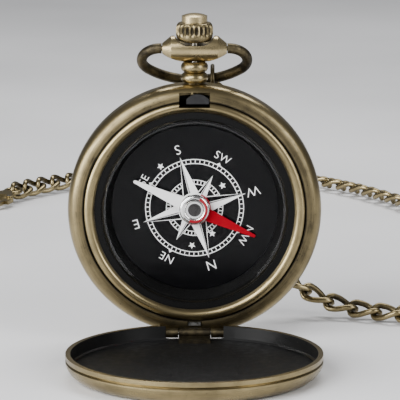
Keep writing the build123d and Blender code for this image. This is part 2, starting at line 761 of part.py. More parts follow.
def case_hinge():
    near = LID_KNUCKLE_L / 2 + HINGE_END_GAP
    far = near + CASE_KNUCKLE_L
    low = HINGE_Z - HINGE_LEAF_T / 2
    high = HINGE_Z + HINGE_LEAF_T / 2
    seat = RIM_Y + HINGE_SEAT_DEPTH
    body = block(-far, far, seat - HINGE_BAR_T, seat, low, high)
    for side in (-1, 1):
        x0, x1 = sorted((side * near, side * far))
        body += block(x0, x1, HINGE_R, seat, low, high)
        body += rod_x(KNUCKLE_R, x0, x1, HINGE_R, HINGE_Z)
    return body - rod_x(HINGE_PIN_R + RUN, -far - 1, far + 1, HINGE_R, HINGE_Z)


def hinge_pin():
    far = LID_KNUCKLE_L / 2 + HINGE_END_GAP + CASE_KNUCKLE_L
    return rod_x(HINGE_PIN_R, -far, far, HINGE_R, HINGE_Z)


# Chain: oval links that cross at right angles along a hand-laid route, and the clasp on its end

LINK_HALF_W = (LINK_W - LINK_WIRE) / 2
LINK_HALF_L = (LINK_L - LINK_WIRE) / 2
LINK_PITCH = 2 * LINK_HALF_L - LINK_WIRE - LINK_PLAY


def link():
    """One link in the XY plane, long along X, of a six-sided wire with mitred corners."""
    end_in = LINK_HALF_W * math.cos(math.radians(30))
    straight = LINK_HALF_L - end_in
    half_path = Polyline(
        (0, LINK_HALF_W),
        (straight, LINK_HALF_W),
        (LINK_HALF_L, LINK_HALF_W / 2),
        (LINK_HALF_L, -LINK_HALF_W / 2),
        (straight, -LINK_HALF_W),
        (0, -LINK_HALF_W),
    )
    section = Plane(origin=(0, LINK_HALF_W, 0), z_dir=(1, 0, 0))
    section *= RegularPolygon(LINK_WIRE / 2, LINK_SIDES)
    half = sweep(section, path=half_path, transition=Transition.RIGHT)
    return half + mirror(half, Plane.YZ)


def chain_route():
    """Corners of the chain's route, from the ring on the bow to the clasp, chosen by hand.

    Each is right of the ring, behind the ring, and at a share of the ring's height over the table.
    """
    ring = ring_centre()
    lie = CHAIN_LIE_H
    corners = [
        (0.9, 3.45, 0.83),
        (3.4, 7.2, 0.595),
        (7.4, 10.6, 0.36),
        (12.2, 12.8, 0.18),
        (17.4, 13.6, 0.075),
        (22.8, 13.0, 0.022),
        (28.4, 11.0, 0),
        (34.2, 8.2, 0),
        (40.4, 6.4, 0),
        (47.6, 7.6, 0),
        (53.6, 12.4, 0),
        (57.6, 20.4, 0),
        (59.4, 32.0, 0),
        (59.8, 44.0, 0),
        (58.7, 55.95, 0),
        (56.7, 74.95, 0),
        (53.7, 93.95, 0),
        (48.7, 111.95, 0),
        (41.2, 128.45, 0),
        (30.2, 145.95, 0),
        (16.7, 157.95, 0),
        (0.7, 162.45, 0),
        (-15.8, 160.45, 0),
        (-30.3, 151.45, 0),
        (-42.3, 137.95, 0),
        (-46.6, 130.3, 0),
    ]
    points = [
        Vector(ring.X + right, ring.Y + back, lie + share * (ring.Z - lie))
        for right, back, share in corners
    ]
    for point, rise in zip(points[-3:], (0.5, 1, 1)):
        point.Z += rise * CHAIN_END_RISE
    inside = CHAIN_RING_R - CHAIN_RING_WIRE_R - LINK_WIRE / 2 - CHAIN_RING_PLAY
    start = ring + (points[0] - ring).normalized() * inside
    return [start] + points


def route_wire(points):
    """The route with every corner rounded by the largest arc that its two runs allow."""
    radii = []
    for before, at, after in zip(points, points[1:], points[2:]):
        run = min((at - before).length, (after - at).length)
        turn = math.radians((at - before).get_angle(after - at))
        radii.append(0.45 * run / math.tan(turn / 2))
    print("chain arc radii, mm:", [round(radius, 1) for radius in radii])
    return FilletPolyline(*points, radius=radii)


def link_roll(i, count):
    """Turn of a link about the route: square to the ring at first and to the clasp's eye at last."""
    from_ring = min(1, i / CHAIN_TURN_LINKS)
    to_eye = max(0, 1 - (count - 1 - i) / CHAIN_TURN_LINKS)
    eye_side = 1 if count % 2 == 1 else -1
    return 45 * from_ring + 45 * eye_side * to_eye - 90 * (i % 2)


def chain_links():
    """Every link along the route, each turned a right angle from the one before it."""
    path = route_wire(chain_route())
    length = path.length
    one = link()
    count = int((length - 2 * LINK_HALF_L - CLASP_EYE_R) / LINK_PITCH) + 1
    links = []
    for i in range(count):
        along = (LINK_HALF_L + i * LINK_PITCH) / length
        tangent = path.tangent_at(along)
        level = Vector(0, 0, 1).cross(tangent).normalized()
        place = Plane(origin=path.position_at(along), x_dir=tangent, z_dir=tangent.cross(level))
        links.append(place.location * Rot(link_roll(i, count), 0, 0) * one)
    print("chain links:", count, "route length, mm:", round(length, 1))
    last = 2 * LINK_HALF_L + (count - 1) * LINK_PITCH
    eye = (last + CLASP_EYE_R - CLASP_EYE_WIRE_R - LINK_WIRE / 2 - LINK_PLAY) / length
    return links, clasp_place(path.position_at(eye), path.tangent_at(eye))


def clasp_place(eye, way):
    """Frame of the clasp: X on along the chain, its eye at link height and its far end on the table."""
    fall = (eye.Z - CLASP_T / 2 - 2 * FIT) / (CLASP_L + CLASP_EYE_R)
    level = Vector(0, 0, 1).cross(way).normalized()
    along = Vector(way.X, way.Y, -fall).normalized()
    return Plane(origin=eye, x_dir=along, z_dir=along.cross(level))


def clasp_outline():
    """Hook in the XY plane that starts on the far side of the eye. The lever closes its mouth."""
    near = CLASP_EYE_R
    far = near + CLASP_L
    half = CLASP_W / 2
    inside_half = half - CLASP_BAR
    turn_x = far - half
    outer = make_face([
        Polyline(
            (turn_x, -half), (near + half, -half), (near, -CLASP_EYE_R / 2),
            (near, CLASP_EYE_R / 2), (near + half, half), (turn_x, half),
        ),
        ThreePointArc((turn_x, half), (far, 0), (turn_x, -half)),
    ])
    inside = make_face([
        Polyline(
            (turn_x, -inside_half), (near + half, -inside_half), (near + half, inside_half),
            (turn_x, inside_half),
        ),
        ThreePointArc((turn_x, inside_half), (far - CLASP_BAR, 0), (turn_x, -inside_half)),
    ])
    return outer - inside


def lever_pivot():
    return (CLASP_EYE_R + CLASP_W * 0.55, CLASP_W / 2 - CLASP_BAR / 2)


def clasp_body(place):
    x, y = lever_pivot()
    body = Pos(0, 0, -CLASP_T / 2) * extrude(clasp_outline(), CLASP_T)
    mouth = block(
        x, x + CLASP_LEVER_L + 2 * FIT, CLASP_W / 2 - CLASP_BAR - FIT, CLASP_W / 2 + 1,
        -CLASP_T, CLASP_T,
    )
    cheeks = Pos(x, y, -CLASP_T / 2) * washer(0, CLASP_BAR / 2, 0, CLASP_T)
    slot = Pos(x, y, -CLASP_T / 4 - FIT) * washer(0, CLASP_BAR * 0.8, 0, CLASP_T / 2 + 2 * FIT)
    body = body - mouth + cheeks - slot
    body += Torus(CLASP_EYE_R, CLASP_EYE_WIRE_R)
    body -= Pos(x, y, -CLASP_T) * washer(0, CLASP_PIN_R + PRESS, 0, 2 * CLASP_T)
    return place.location * body


def clasp_lever(place):
    x, y = lever_pivot()
    thick = CLASP_T / 2
    half = CLASP_BAR * 0.35
    arm = block(x, x + CLASP_LEVER_L, y - half, y + half, -thick / 2, thick / 2)
    hub = Pos(x, y, -thick / 2) * washer(0, CLASP_BAR * 0.6, 0, thick)
    thumb = block(
        x + CLASP_LEVER_L * 0.3, x + CLASP_LEVER_L * 0.6, y, y + CLASP_BAR, -thick / 2, thick / 2,
    )
    body = arm + hub + thumb
    body -= Pos(x, y, -thick) * washer(0, CLASP_PIN_R + RUN, 0, 2 * thick)
    return place.location * body


def clasp_pin(place):
    return place.location * Pos(*lever_pivot(), -CLASP_T / 2) * washer(0, CLASP_PIN_R, 0, CLASP_T)


def main():
    os.makedirs("parts", exist_ok=True)
    links, clasp = chain_links()
    hanging = [one for one in links if one.bounding_box().max.Z > 2 * LINK_W]
    lying = [one for one in links if one.bounding_box().max.Z <= 2 * LINK_W]
    parts = {
        "case_band": case_band(),
        "back_cover": back_cover(),
        "bezel": bezel(),
        "crystal": crystal(),
        "crystal_gasket": crystal_gasket(),
        "capsule_cup": capsule_cup(),
        "capsule_holder": capsule_holder(),
        "dial_card": dial_card(),
        "pivot_pin": pivot_pin(),
        "needle": needle(),
        "needle_cap": needle_cap(),
        "jewel_cup": jewel_cup(),
        "pendant_neck": pendant_neck(),
        "pendant_yoke": pendant_yoke(),
        "crown": crown(),
        "crown_cap": crown_cap(),
        "push_stem": push_stem(),
        "return_spring": return_spring(),
        "bow": bow(),
        "chain_ring": chain_ring(),
        "latch_spring": latch_spring(),
        "lift_spring": lift_spring(),
        "spring_screws": spring_screws(),
        "lid_shell": lid_shell(),
        "lid_lining": lid_lining(),
        "lid_hinge": lid_hinge(),
        "case_hinge": case_hinge(),
        "hinge_pin": hinge_pin(),
        "chain_drop": Compound(hanging),
        "chain": Compound(lying),
        "clasp_body": clasp_body(clasp),
        "clasp_lever": clasp_lever(clasp),
        "clasp_pin": clasp_pin(clasp),
    }
    for name, shape in parts.items():
        export_step(shape, f"parts/{name}.step")


main()
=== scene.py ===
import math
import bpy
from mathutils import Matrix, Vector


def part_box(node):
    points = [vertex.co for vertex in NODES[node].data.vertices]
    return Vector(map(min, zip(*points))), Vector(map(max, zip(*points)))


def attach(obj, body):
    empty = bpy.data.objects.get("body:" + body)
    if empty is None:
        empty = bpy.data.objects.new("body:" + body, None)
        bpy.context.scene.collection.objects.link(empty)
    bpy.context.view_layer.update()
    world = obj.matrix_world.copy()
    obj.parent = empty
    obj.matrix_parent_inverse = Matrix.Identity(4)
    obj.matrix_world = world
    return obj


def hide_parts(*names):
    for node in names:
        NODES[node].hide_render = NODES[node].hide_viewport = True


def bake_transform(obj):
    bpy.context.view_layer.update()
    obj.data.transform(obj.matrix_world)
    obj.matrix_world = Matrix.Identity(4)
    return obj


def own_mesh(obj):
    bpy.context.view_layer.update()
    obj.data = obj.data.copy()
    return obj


bl_info = {
    "name": "Pocket Compass Dressing",
    "version": (1, 0, 0),
    "blender": (4, 5, 0),
    "location": "View3D > Sidebar > Compass",
    "description": "Finishes, printed rose, crown, chain and stage for a hunter-case pocket compass",
    "category": "Object",
}

import bpy
import numpy as np
from bpy.props import FloatProperty, FloatVectorProperty, IntProperty, PointerProperty
from mathutils import Vector

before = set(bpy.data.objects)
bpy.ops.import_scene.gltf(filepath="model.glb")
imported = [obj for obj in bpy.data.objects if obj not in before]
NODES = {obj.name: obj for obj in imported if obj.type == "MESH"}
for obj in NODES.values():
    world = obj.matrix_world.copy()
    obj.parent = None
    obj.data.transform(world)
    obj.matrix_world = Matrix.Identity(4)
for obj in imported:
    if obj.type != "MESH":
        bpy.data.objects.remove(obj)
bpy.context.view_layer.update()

MM = 0.001
DIAL_LOW, DIAL_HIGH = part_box("dial_card")
DIAL_CENTRE = (0.5 * (DIAL_LOW[0] + DIAL_HIGH[0]), DIAL_LOW[1], 0.5 * (DIAL_LOW[2] + DIAL_HIGH[2]))
CLASP_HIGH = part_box("clasp_body")[1]

# Control points of the chain's route in millimetres, from the ring on the bow to the clasp
CHAIN_ROUTE = (
    (3.42, 34.98, 47.0),
    (4.2, 37.97, 40.2),
    (6.7, 41.72, 29.34),
    (10.7, 45.12, 18.48),
    (15.5, 47.32, 10.17),
    (20.7, 48.12, 5.32),
    (26.1, 47.52, 2.87),
    (31.7, 45.52, 1.85),
    (37.5, 42.72, 1.85),
    (43.7, 40.92, 1.85),
    (50.9, 42.12, 1.85),
    (56.9, 46.92, 1.85),
    (60.9, 54.92, 1.85),
    (62.7, 66.52, 1.85),
    (63.1, 78.52, 1.85),
    (62.0, 90.47, 1.85),
    (60.0, 109.47, 1.85),
    (57.0, 128.47, 1.85),
    (52.0, 146.47, 1.85),
    (44.5, 162.97, 1.85),
    (33.5, 180.47, 1.85),
    (20.0, 192.47, 1.85),
    (4.0, 196.97, 1.85),
    (-12.5, 194.97, 1.85),
    (-27.0, 185.97, 2.18),
    (-39.0, 172.47, 2.5),
    (-43.3, 164.82, 2.5),
)

# Which finish each CAD piece wears
FINISHES = {
    "case_brass": ("case_band", "back_cover", "bezel"),
    "lid_brass": ("lid_shell",),
    "pendant_brass": ("pendant_neck",),
    # Painted highlight: these pieces wear a lighter, lit copy of the brass
    "painted_lit_brass": ("pendant_yoke", "crown_cap"),
    "plain_brass": ("clasp_body", "clasp_lever"),
    "bow_brass": ("bow", "chain_ring", "case_hinge"),
    "hinge_brass": ("lid_hinge",),
    "crystal_glass": ("crystal",),
    "capsule_black": ("crystal_gasket", "capsule_cup", "capsule_holder"),
    "dial_lacquer": ("dial_card",),
    "needle_enamel": ("needle",),
    "cap_chrome": ("needle_cap",),
    "jewel_dark": ("jewel_cup",),
    "strip_steel": (
        "pivot_pin", "push_stem", "return_spring", "lift_spring", "spring_screws", "hinge_pin", "clasp_pin",
    ),
    "latch_steel": ("latch_spring",),
    "lid_lacquer": ("lid_lining",),
}


def half_width(node, axis=0):
    """Half the width of a CAD piece's box along an axis."""
    low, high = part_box(node)
    return 0.5 * (high[axis] - low[axis])


def length_prop(name, description, default):
    return FloatProperty(
        name=name, description=description, default=default, min=0.0, subtype="DISTANCE", unit="LENGTH"
    )


def colour_prop(name, description, default):
    return FloatVectorProperty(
        name=name, description=description, default=default, size=4, min=0.0, max=1.0, subtype="COLOR"
    )


class CompassSizes(bpy.types.PropertyGroup):
    """Sizes of the pieces that are made here, in metres"""

    link_length: length_prop("Link length", "Outer length of one chain link", 7.2 * MM)
    link_width: length_prop("Link width", "Outer width of one chain link", 4.2 * MM)
    link_wire: length_prop("Link wire", "Diameter of the chain's wire", 1.15 * MM)
    link_pitch: length_prop("Link pitch", "Distance from one link to the next", 4.8 * MM)
    chain_height: length_prop("Chain height", "Height under which the chain lies still", 5.2 * MM)
    clasp_eye: length_prop("Clasp eye", "Outer radius of the eye of the clasp", 2.25 * MM)
    print_lift: length_prop("Print lift", "Height of the ink over the dial", 0.012 * MM)
    outer_track: length_prop("Outer track", "Outer radius of the large graduated ring", 9.1 * MM)
    inner_track: length_prop("Inner track", "Outer radius of the small graduated ring", 5.26 * MM)
    track_width: length_prop("Track width", "Width of both graduated rings", 0.92 * MM)
    track_line: length_prop("Track line", "Width of the lines of the graduated rings", 0.15 * MM)
    main_point: length_prop("Main points", "Reach of the four main points of the rose", 9.8 * MM)
    lesser_point: length_prop("Lesser points", "Reach of the four lesser points of the rose", 6.9 * MM)
    crown_foot: length_prop("Crown foot", "Radius of the crown's foot", 2.45 * MM)
    crown_top: length_prop("Crown top", "Radius of the crown's top", 2.7 * MM)
    crown_bore: length_prop("Crown bore", "Radius of the bore over the return spring", 1.9 * MM)
    flute_depth: length_prop("Flute depth", "Depth of the crown's flutes", 0.45 * MM)
    crown_ribs: IntProperty(name="Crown ribs", description="Ribs round the crown", default=22, min=6)
    main_letter: length_prop("Main letters", "Height of N, E, S and W", 1.7 * MM)
    lesser_letter: length_prop("Lesser letters", "Height of the letter pairs", 1.4 * MM)
    letter_radius: length_prop("Letter radius", "Distance of the main letters from the centre", 11.2 * MM)
    star_radius: length_prop("Star radius", "Reach of the small stars", 0.68 * MM)
    outer_ticks: IntProperty(
        name="Outer ticks", description="Cells of the large graduated ring", default=64, min=8
    )
    inner_ticks: IntProperty(
        name="Inner ticks", description="Cells of the small graduated ring", default=48, min=8
    )
    south_angle: FloatProperty(
        name="South", description="Direction of the letter S, anticlockwise from the right",
        default=math.radians(106.0), subtype="ANGLE", unit="ROTATION",
    )
    needle_angle: FloatProperty(
        name="Red arm", description="Direction of the needle's red arm, anticlockwise from the right",
        default=math.radians(-24.8), subtype="ANGLE", unit="ROTATION",
    )
    turn_links: IntProperty(
        name="Turning links", description="Links over which the chain turns flat from its two ends",
        default=10, min=1,
    )
    link_twist: FloatProperty(
        name="Link twist", description="Turn of a curb link from its one end to the other",
        default=math.radians(-90.0), subtype="ANGLE", unit="ROTATION",
    )
    link_lie: FloatProperty(
        name="Link lie", description="Tilt of the links where the chain lies on the table",
        default=math.radians(15.0), subtype="ANGLE", unit="ROTATION",
    )


class CompassColours(bpy.types.PropertyGroup):
    """Colours of the finishes, as linear values"""

    brass_light: colour_prop("Brass, light", "Brass where its patina is thin", (0.30, 0.24, 0.125, 1.0))
    # Painted highlight: a lighter copy of the brass for the yoke and the crown's cap, standing in for light
    # from the front and top
    brass_painted_lit: colour_prop(
        "Brass, rubbed", "Brass of the pendant's most rubbed pieces", (0.46, 0.37, 0.20, 1.0)
    )
    brass_dark: colour_prop("Brass, aged", "Brass in its dark patina", (0.03, 0.025, 0.017, 1.0))
    ink: colour_prop("Ink", "White print on the dial", (0.78, 0.78, 0.77, 1.0))
    dial: colour_prop("Dial", "Black lacquer of the dial", (0.0015, 0.0015, 0.0018, 1.0))
    needle_red: colour_prop("Red arm", "Enamel of the red arm", (0.25, 0.0, 0.008, 1.0))
    needle_white: colour_prop("White arm", "Enamel of the white arm", (0.80, 0.80, 0.79, 1.0))
    steel: colour_prop("Steel", "Spring steel", (0.30, 0.30, 0.29, 1.0))
    chrome: colour_prop("Cap", "Bright metal of the needle's cap", (0.75, 0.75, 0.74, 1.0))
    jewel: colour_prop("Jewel", "Dark stone in the cap", (0.012, 0.010, 0.010, 1.0))
    capsule: colour_prop("Capsule", "Black of the capsule", (0.004, 0.004, 0.004, 1.0))
    latch: colour_prop("Latch", "Blackened steel of the latch", (0.035, 0.035, 0.036, 1.0))
    lining: colour_prop("Lid lining", "Dark lacquer inside the lid", (0.006, 0.006, 0.006, 1.0))
    floor: colour_prop("Floor", "Pale floor", (0.62, 0.62, 0.63, 1.0))


class Graph:
    """Adds nodes to one shader tree and links them."""

    def __init__(self, tree):
        self.tree = tree

    def add(self, kind, settings=None, **inputs):
        node = self.tree.nodes.new(kind)
        for key, value in (settings or {}).items():
            setattr(node, key, value)
        for key, value in inputs.items():
            self.put(node.inputs[key.replace("_", " ")], value)
        return node

    def put(self, socket, value):
        if isinstance(value, bpy.types.NodeSocket):
            self.tree.links.new(value, socket)
        else:
            socket.default_value = value

    def math(self, operation, first, second=0.0):
        node = self.tree.nodes.new("ShaderNodeMath")
        node.operation = operation
        self.put(node.inputs[0], first)
        self.put(node.inputs[1], second)
        return node.outputs[0]

    def ramp(self, value, low, high, start=0.0, end=1.0):
        """Smooth step of value from low to high, put out from start to end."""
        node = self.add("ShaderNodeMapRange", {"interpolation_type": "SMOOTHSTEP"})
        for socket, number in zip(node.inputs[:5], (value, low, high, start, end)):
            self.put(socket, number)
        return node.outputs[0]

    def mix(self, factor, first, second):
        node = self.add("ShaderNodeMix", {"data_type": "RGBA"})
        self.put(node.inputs[0], factor)
        self.put(node.inputs[6], first)
        self.put(node.inputs[7], second)
        return node.outputs[2]

    def noise(self, vector, scale, detail=3.0, roughness=0.55):
        node = self.add("ShaderNodeTexNoise")
        self.put(node.inputs["Vector"], vector)
        node.inputs["Scale"].default_value = scale
        node.inputs["Detail"].default_value = detail
        node.inputs["Roughness"].default_value = roughness
        return node.outputs["Fac"]


def new_group(name, inputs, outputs):
    """Empty shader node group with the named sockets, and its graph."""
    tree = bpy.data.node_groups.new(name, "ShaderNodeTree")
    for label, kind in inputs:
        tree.interface.new_socket(label, in_out="INPUT", socket_type=kind)
    for label, kind in outputs:
        tree.interface.new_socket(label, in_out="OUTPUT", socket_type=kind)
    graph = Graph(tree)
    return graph, graph.add("NodeGroupInput"), graph.add("NodeGroupOutput")


def turned_coordinates_group():
    """Round coordinates of a turned piece whose axis is Z: its radius and a stretched brush vector."""
    cells_per_metre = 6000.0
    cells_per_radian = 5.0
    graph, start, end = new_group(
        "Turned coordinates",
        [("Vector", "NodeSocketVector")],
        [("Brush", "NodeSocketVector"), ("Radius", "NodeSocketFloat")],
    )
    parts = graph.add("ShaderNodeSeparateXYZ", Vector=start.outputs["Vector"])
    x, y, z = parts.outputs
    squares = graph.math("ADD", graph.math("MULTIPLY", x, x), graph.math("MULTIPLY", y, y))
    radius = graph.math("SQRT", squares)
    angle = graph.math("ARCTAN2", y, x)
    brush = graph.add("ShaderNodeCombineXYZ")
    graph.put(brush.inputs[0], graph.math("MULTIPLY", radius, cells_per_metre))
    graph.put(brush.inputs[1], graph.math("MULTIPLY", angle, cells_per_radian))
    graph.put(brush.inputs[2], graph.math("MULTIPLY", z, cells_per_metre))
    graph.put(end.inputs["Brush"], brush.outputs[0])
    graph.put(end.inputs["Radius"], radius)
    return graph.tree


def aged_brass_group():
    """Rubbed brass over a dark patina: cloudy wear, fine brush lines and small pits."""
    graph, start, end = new_group(
        "Aged brass",
        [
            ("Vector", "NodeSocketVector"), ("Brush", "NodeSocketVector"), ("Light", "NodeSocketColor"),
            ("Dark", "NodeSocketColor"), ("Patina", "NodeSocketFloat"),
        ],
        [("Color", "NodeSocketColor"), ("Roughness", "NodeSocketFloat"), ("Height", "NodeSocketFloat")],
    )
    vector = start.outputs["Vector"]
    clouds = graph.noise(vector, 170.0, 5.0, 0.6)
    pits = graph.noise(vector, 2600.0, 2.0, 0.5)
    lines = graph.noise(start.outputs["Brush"], 1.0, 3.0, 0.6)
    cloud_wear = graph.ramp(clouds, 0.38, 0.72, 0.0, 0.34)
    line_wear = graph.ramp(lines, 0.4, 0.75, 0.0, 0.22)
    pit_wear = graph.ramp(pits, 0.62, 0.78, 0.0, 0.3)
    wear = graph.math("ADD", graph.math("ADD", cloud_wear, line_wear), pit_wear)
    # The patina input also carries the painted reflection band of the case's rings
    patina = graph.math("MINIMUM", graph.math("ADD", wear, start.outputs["Patina"]), 1.0)
    graph.put(end.inputs["Color"], graph.mix(patina, start.outputs["Light"], start.outputs["Dark"]))
    graph.put(end.inputs["Roughness"], graph.math("ADD", graph.math("MULTIPLY", patina, 0.22), 0.27))
    graph.put(
        end.inputs["Height"],
        graph.math("SUBTRACT", graph.math("MULTIPLY", lines, 0.6), graph.math("MULTIPLY", pit_wear, 0.8)),
    )
    return graph.tree


def fine_grain_group():
    """Fine moulded or lacquered grain: a value round 0.5."""
    graph, start, end = new_group(
        "Fine grain",
        [("Vector", "NodeSocketVector"), ("Scale", "NodeSocketFloat")],
        [("Grain", "NodeSocketFloat")],
    )
    node = graph.add("ShaderNodeTexNoise", Vector=start.outputs["Vector"], Scale=start.outputs["Scale"])
    node.inputs["Detail"].default_value = 4.0
    graph.put(end.inputs["Grain"], node.outputs["Fac"])
    return graph.tree


def new_material(name):
    """Material with one Principled shader, its graph, the shader and the Object coordinates."""
    material = bpy.data.materials.new(name)
    material.use_nodes = True
    material.node_tree.nodes.clear()
    graph = Graph(material.node_tree)
    shader = graph.add("ShaderNodeBsdfPrincipled")
    output = graph.add("ShaderNodeOutputMaterial")
    graph.put(output.inputs["Surface"], shader.outputs[0])
    place = graph.add("ShaderNodeTexCoord").outputs["Object"]
    return material, graph, shader, place


def use_group(graph, tree, **inputs):
    node = graph.add("ShaderNodeGroup", {"node_tree": tree})
    for key, value in inputs.items():
        graph.put(node.inputs[key], value)
    return node


def bump(graph, shader, height, distance, strength=1.0):
    node = graph.add("ShaderNodeBump", Height=height)
    node.inputs["Distance"].default_value = distance
    node.inputs["Strength"].default_value = strength
    graph.put(shader.inputs["Normal"], node.outputs[0])


def about_dial_axis(graph, place):
    """Object coordinates with the dial's centre as origin and its axis as Z."""
    parts = graph.add("ShaderNodeSeparateXYZ", Vector=place)
    moved = graph.add("ShaderNodeCombineXYZ")
    graph.put(moved.inputs[0], graph.math("SUBTRACT", parts.outputs[0], DIAL_CENTRE[0]))
    graph.put(moved.inputs[1], graph.math("SUBTRACT", parts.outputs[2], DIAL_CENTRE[2]))
    graph.put(moved.inputs[2], graph.math("SUBTRACT", parts.outputs[1], DIAL_CENTRE[1]))
    return moved.outputs[0]


def brass_material(name, groups, colours, axis, rings=(), patina=0.0, inside=None, hollows=0.0, light=None):
    """Aged brass, turned about an axis: "dial" for the dial's, (x, y) for an upright one, or None.

    rings are (radius, width, amount) of dark rings. inside is (radius, height): nearer to the axis
    and higher than that, the metal is lacquered black. hollows is the patina added on the inner side
    of wire links and in flutes, which the attribute inner_side marks. light takes the place of the
    brass's own light colour.
    """
    material, graph, shader, place = new_material(name)
    dark = patina
    if axis is None:
        brush = graph.add("ShaderNodeVectorMath", {"operation": "SCALE"})
        graph.put(brush.inputs[0], place)
        brush.inputs["Scale"].default_value = 900.0
        brush = brush.outputs[0]
    else:
        if axis == "dial":
            local = about_dial_axis(graph, place)
        else:
            shift = graph.add("ShaderNodeVectorMath", {"operation": "SUBTRACT"})
            graph.put(shift.inputs[0], place)
            shift.inputs[1].default_value = (axis[0], axis[1], 0.0)
            local = shift.outputs[0]
        turned = use_group(graph, groups["turned"], Vector=local)
        brush = turned.outputs["Brush"]
        for radius, width, amount in rings:
            away = graph.math("ABSOLUTE", graph.math("SUBTRACT", turned.outputs["Radius"], radius))
            ring = graph.ramp(away, 0.2 * width, width, amount, 0.0)
            dark = graph.math("ADD", ring, dark)
    if hollows:
        marked = graph.add("ShaderNodeAttribute", {"attribute_name": "inner_side"})
        dark = graph.math("ADD", graph.ramp(marked.outputs["Fac"], 0.25, 0.75, 0.0, hollows), dark)
    brass = use_group(
        graph, groups["brass"], Vector=place, Brush=brush,
        Light=light or colours.brass_light, Dark=colours.brass_dark, Patina=dark,
    )
    colour = brass.outputs["Color"]
    shader.inputs["Metallic"].default_value = 1.0
    if inside:
        inside_r, inside_z = inside
        near = graph.ramp(turned.outputs["Radius"], inside_r, inside_r + 0.06 * MM, 1.0, 0.0)
        height = graph.add("ShaderNodeSeparateXYZ", Vector=place).outputs[2]
        above = graph.ramp(height, inside_z - 0.1 * MM, inside_z)
        lacquer = graph.math("MULTIPLY", near, above)
        colour = graph.mix(lacquer, colour, tuple(colours.lining))
        graph.put(shader.inputs["Metallic"], graph.math("SUBTRACT", 1.0, lacquer))
    graph.put(shader.inputs["Base Color"], colour)
    graph.put(shader.inputs["Roughness"], brass.outputs["Roughness"])
    bump(graph, shader, brass.outputs["Height"], 0.02 * MM, 0.6)
    return material


def grained_material(name, groups, colour, roughness, scale, metallic=0.0, height=0.0, specular=0.5):
    """One colour with fine grain in its shade, its gloss and its height."""
    material, graph, shader, place = new_material(name)
    grain = use_group(graph, groups["grain"], Vector=place, Scale=scale)
    lighter = tuple(min(1.0, value * 1.5 + 0.001) for value in colour[:3]) + (1.0,)
    graph.put(shader.inputs["Base Color"], graph.mix(grain.outputs["Grain"], tuple(colour), lighter))
    graph.put(
        shader.inputs["Roughness"],
        graph.ramp(grain.outputs["Grain"], 0.3, 0.7, max(0.02, roughness * 0.8), roughness * 1.25),
    )
    shader.inputs["Metallic"].default_value = metallic
    shader.inputs["Specular IOR Level"].default_value = specular
    if height:
        bump(graph, shader, grain.outputs["Grain"], height)
    return material


def crystal_material(groups, flat_r):
    """Clear glass: its flat middle only lets light through, and its rim bends and reflects it."""
    material, graph, shader, place = new_material("crystal_glass")
    shader.inputs["Base Color"].default_value = (1.0, 1.0, 1.0, 1.0)
    shader.inputs["Transmission Weight"].default_value = 1.0
    shader.inputs["IOR"].default_value = 1.45
    smears = graph.noise(place, 220.0, 3.0)
    graph.put(shader.inputs["Roughness"], graph.ramp(smears, 0.45, 0.8, 0.0, 0.02))
    turned = use_group(graph, groups["turned"], Vector=about_dial_axis(graph, place))
    middle = graph.ramp(turned.outputs["Radius"], flat_r - 0.05 * MM, flat_r, 1.0, 0.0)
    light = graph.add("ShaderNodeLightPath")
    indirect = graph.math("ADD", light.outputs["Is Diffuse Ray"], light.outputs["Is Glossy Ray"])
    indirect = graph.math("ADD", light.outputs["Is Shadow Ray"], indirect)
    clear = graph.add("ShaderNodeBsdfTransparent")
    both = graph.add("ShaderNodeMixShader")
    graph.put(both.inputs[0], graph.math("MAXIMUM", middle, indirect))
    graph.put(both.inputs[1], shader.outputs[0])
    graph.put(both.inputs[2], clear.outputs[0])
    output = [node for node in graph.tree.nodes if node.type == "OUTPUT_MATERIAL"][0]
    graph.put(output.inputs["Surface"], both.outputs[0])
    return material


def red_side(graph, local, angle):
    """Mask of the red side of the needle's pivot, from coordinates about the dial's axis."""
    along = graph.add("ShaderNodeVectorMath", {"operation": "DOT_PRODUCT"})
    graph.put(along.inputs[0], local)
    along.inputs[1].default_value = (math.cos(angle), math.sin(angle), 0.0)
    return graph.ramp(along.outputs["Value"], -0.05 * MM, 0.05 * MM)


def needle_material(groups, colours, angle):
    """Enamel that is red on one side of the pivot and white on the other."""
    material, graph, shader, place = new_material("needle_enamel")
    side = red_side(graph, about_dial_axis(graph, place), angle)
    grain = use_group(graph, groups["grain"], Vector=place, Scale=1800.0)
    colour = graph.mix(side, tuple(colours.needle_white), tuple(colours.needle_red))
    graph.put(shader.inputs["Base Color"], colour)
    graph.put(shader.inputs["Roughness"], graph.ramp(grain.outputs["Grain"], 0.3, 0.7, 0.32, 0.5))
    shader.inputs["Specular IOR Level"].default_value = 0.05
    bump(graph, shader, grain.outputs["Grain"], 0.01 * MM)
    return material


def cap_material(groups, colours, angle, ring_r, ring_w):
    """Bright turned cap with a red enamel ring on the red side."""
    material, graph, shader, place = new_material("cap_chrome")
    local = about_dial_axis(graph, place)
    side = red_side(graph, local, angle)
    turned = use_group(graph, groups["turned"], Vector=local)
    away = graph.math("ABSOLUTE", graph.math("SUBTRACT", turned.outputs["Radius"], ring_r))
    enamel = graph.math("MULTIPLY", side, graph.ramp(away, 0.4 * ring_w, 0.5 * ring_w, 1.0, 0.0))
    lines = graph.noise(turned.outputs["Brush"], 0.6, 2.0)
    colour = graph.mix(enamel, tuple(colours.chrome), tuple(colours.needle_red))
    graph.put(shader.inputs["Base Color"], colour)
    graph.put(shader.inputs["Roughness"], graph.ramp(lines, 0.3, 0.7, 0.12, 0.24))
    graph.put(shader.inputs["Metallic"], graph.math("SUBTRACT", 1.0, enamel))
    return material


